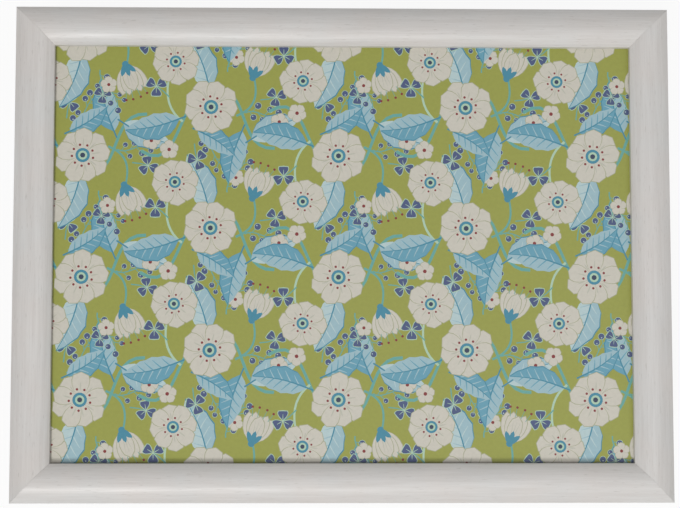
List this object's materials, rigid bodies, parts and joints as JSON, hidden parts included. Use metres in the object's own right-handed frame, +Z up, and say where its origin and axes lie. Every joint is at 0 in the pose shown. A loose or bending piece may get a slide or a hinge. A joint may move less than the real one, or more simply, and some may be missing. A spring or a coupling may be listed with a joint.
{
  "type": "lap desk with lift lid",
  "caption": "Lap desk: a mitred frame around a printed panel makes a lid, hinged on a shallow felt-lined storage box with a magnetic catch, on a bead-filled lap cushion.",
  "frame": {"origin": "centre of the cushion's flat underside, below the middle of the lid", "axes": "+X to the user's right along the long side, +Y away from the user towards the hinges, +Z up out of the printed panel"},
  "size_m": [0.44, 0.332, 0.116],
  "materials": {
    "washed_wood": "white-washed grain, satin",
    "print_laminate": "printed, slightly glossy",
    "hardboard": "smooth hardboard",
    "grey_card": "matte",
    "plywood": "thin plywood, bare",
    "steel": "zinc plated",
    "nickel_plate": "nickel plated",
    "brass": "brass plated, satin",
    "grey_felt": "felt",
    "cotton_canvas": "plain weave"
  },
  "bodies": {
    "box": {"box_wall_front": "washed_wood", "box_wall_back": "washed_wood", "box_wall_left": "washed_wood", "box_wall_right": "washed_wood", "box_corner_wedges": "steel", "box_floor": "plywood", "floor_brads": "steel", "felt_lining": "grey_felt", "hinge_box_leaf_left": "brass", "hinge_box_leaf_right": "brass", "hinge_pin_left": "brass", "hinge_pin_right": "brass", "hinge_box_screws": "brass", "catch_magnets": "nickel_plate", "felt_pads": "grey_felt", "cushion_flange": "cotton_canvas", "cushion_staples": "steel", "cushion": "cotton_canvas"},
    "lid": {"lid_rail_front": "washed_wood", "lid_rail_back": "washed_wood", "lid_rail_left": "washed_wood", "lid_rail_right": "washed_wood", "print_sheet": "print_laminate", "print_board": "hardboard", "backing_card": "grey_card", "framer_points": "steel", "lid_corner_wedges": "steel", "hinge_lid_leaf_left": "brass", "hinge_lid_leaf_right": "brass", "hinge_lid_screws": "brass", "catch_plates": "steel", "catch_plate_screws": "steel"}
  },
  "joints": [
    {"name": "lid_hinge", "type": "hinge", "parent": "box", "child": "lid", "pos_m": [0, 0.1585, 0.0958], "axis": [-1, 0, 0], "range_deg": [0, 115]}
  ]
}
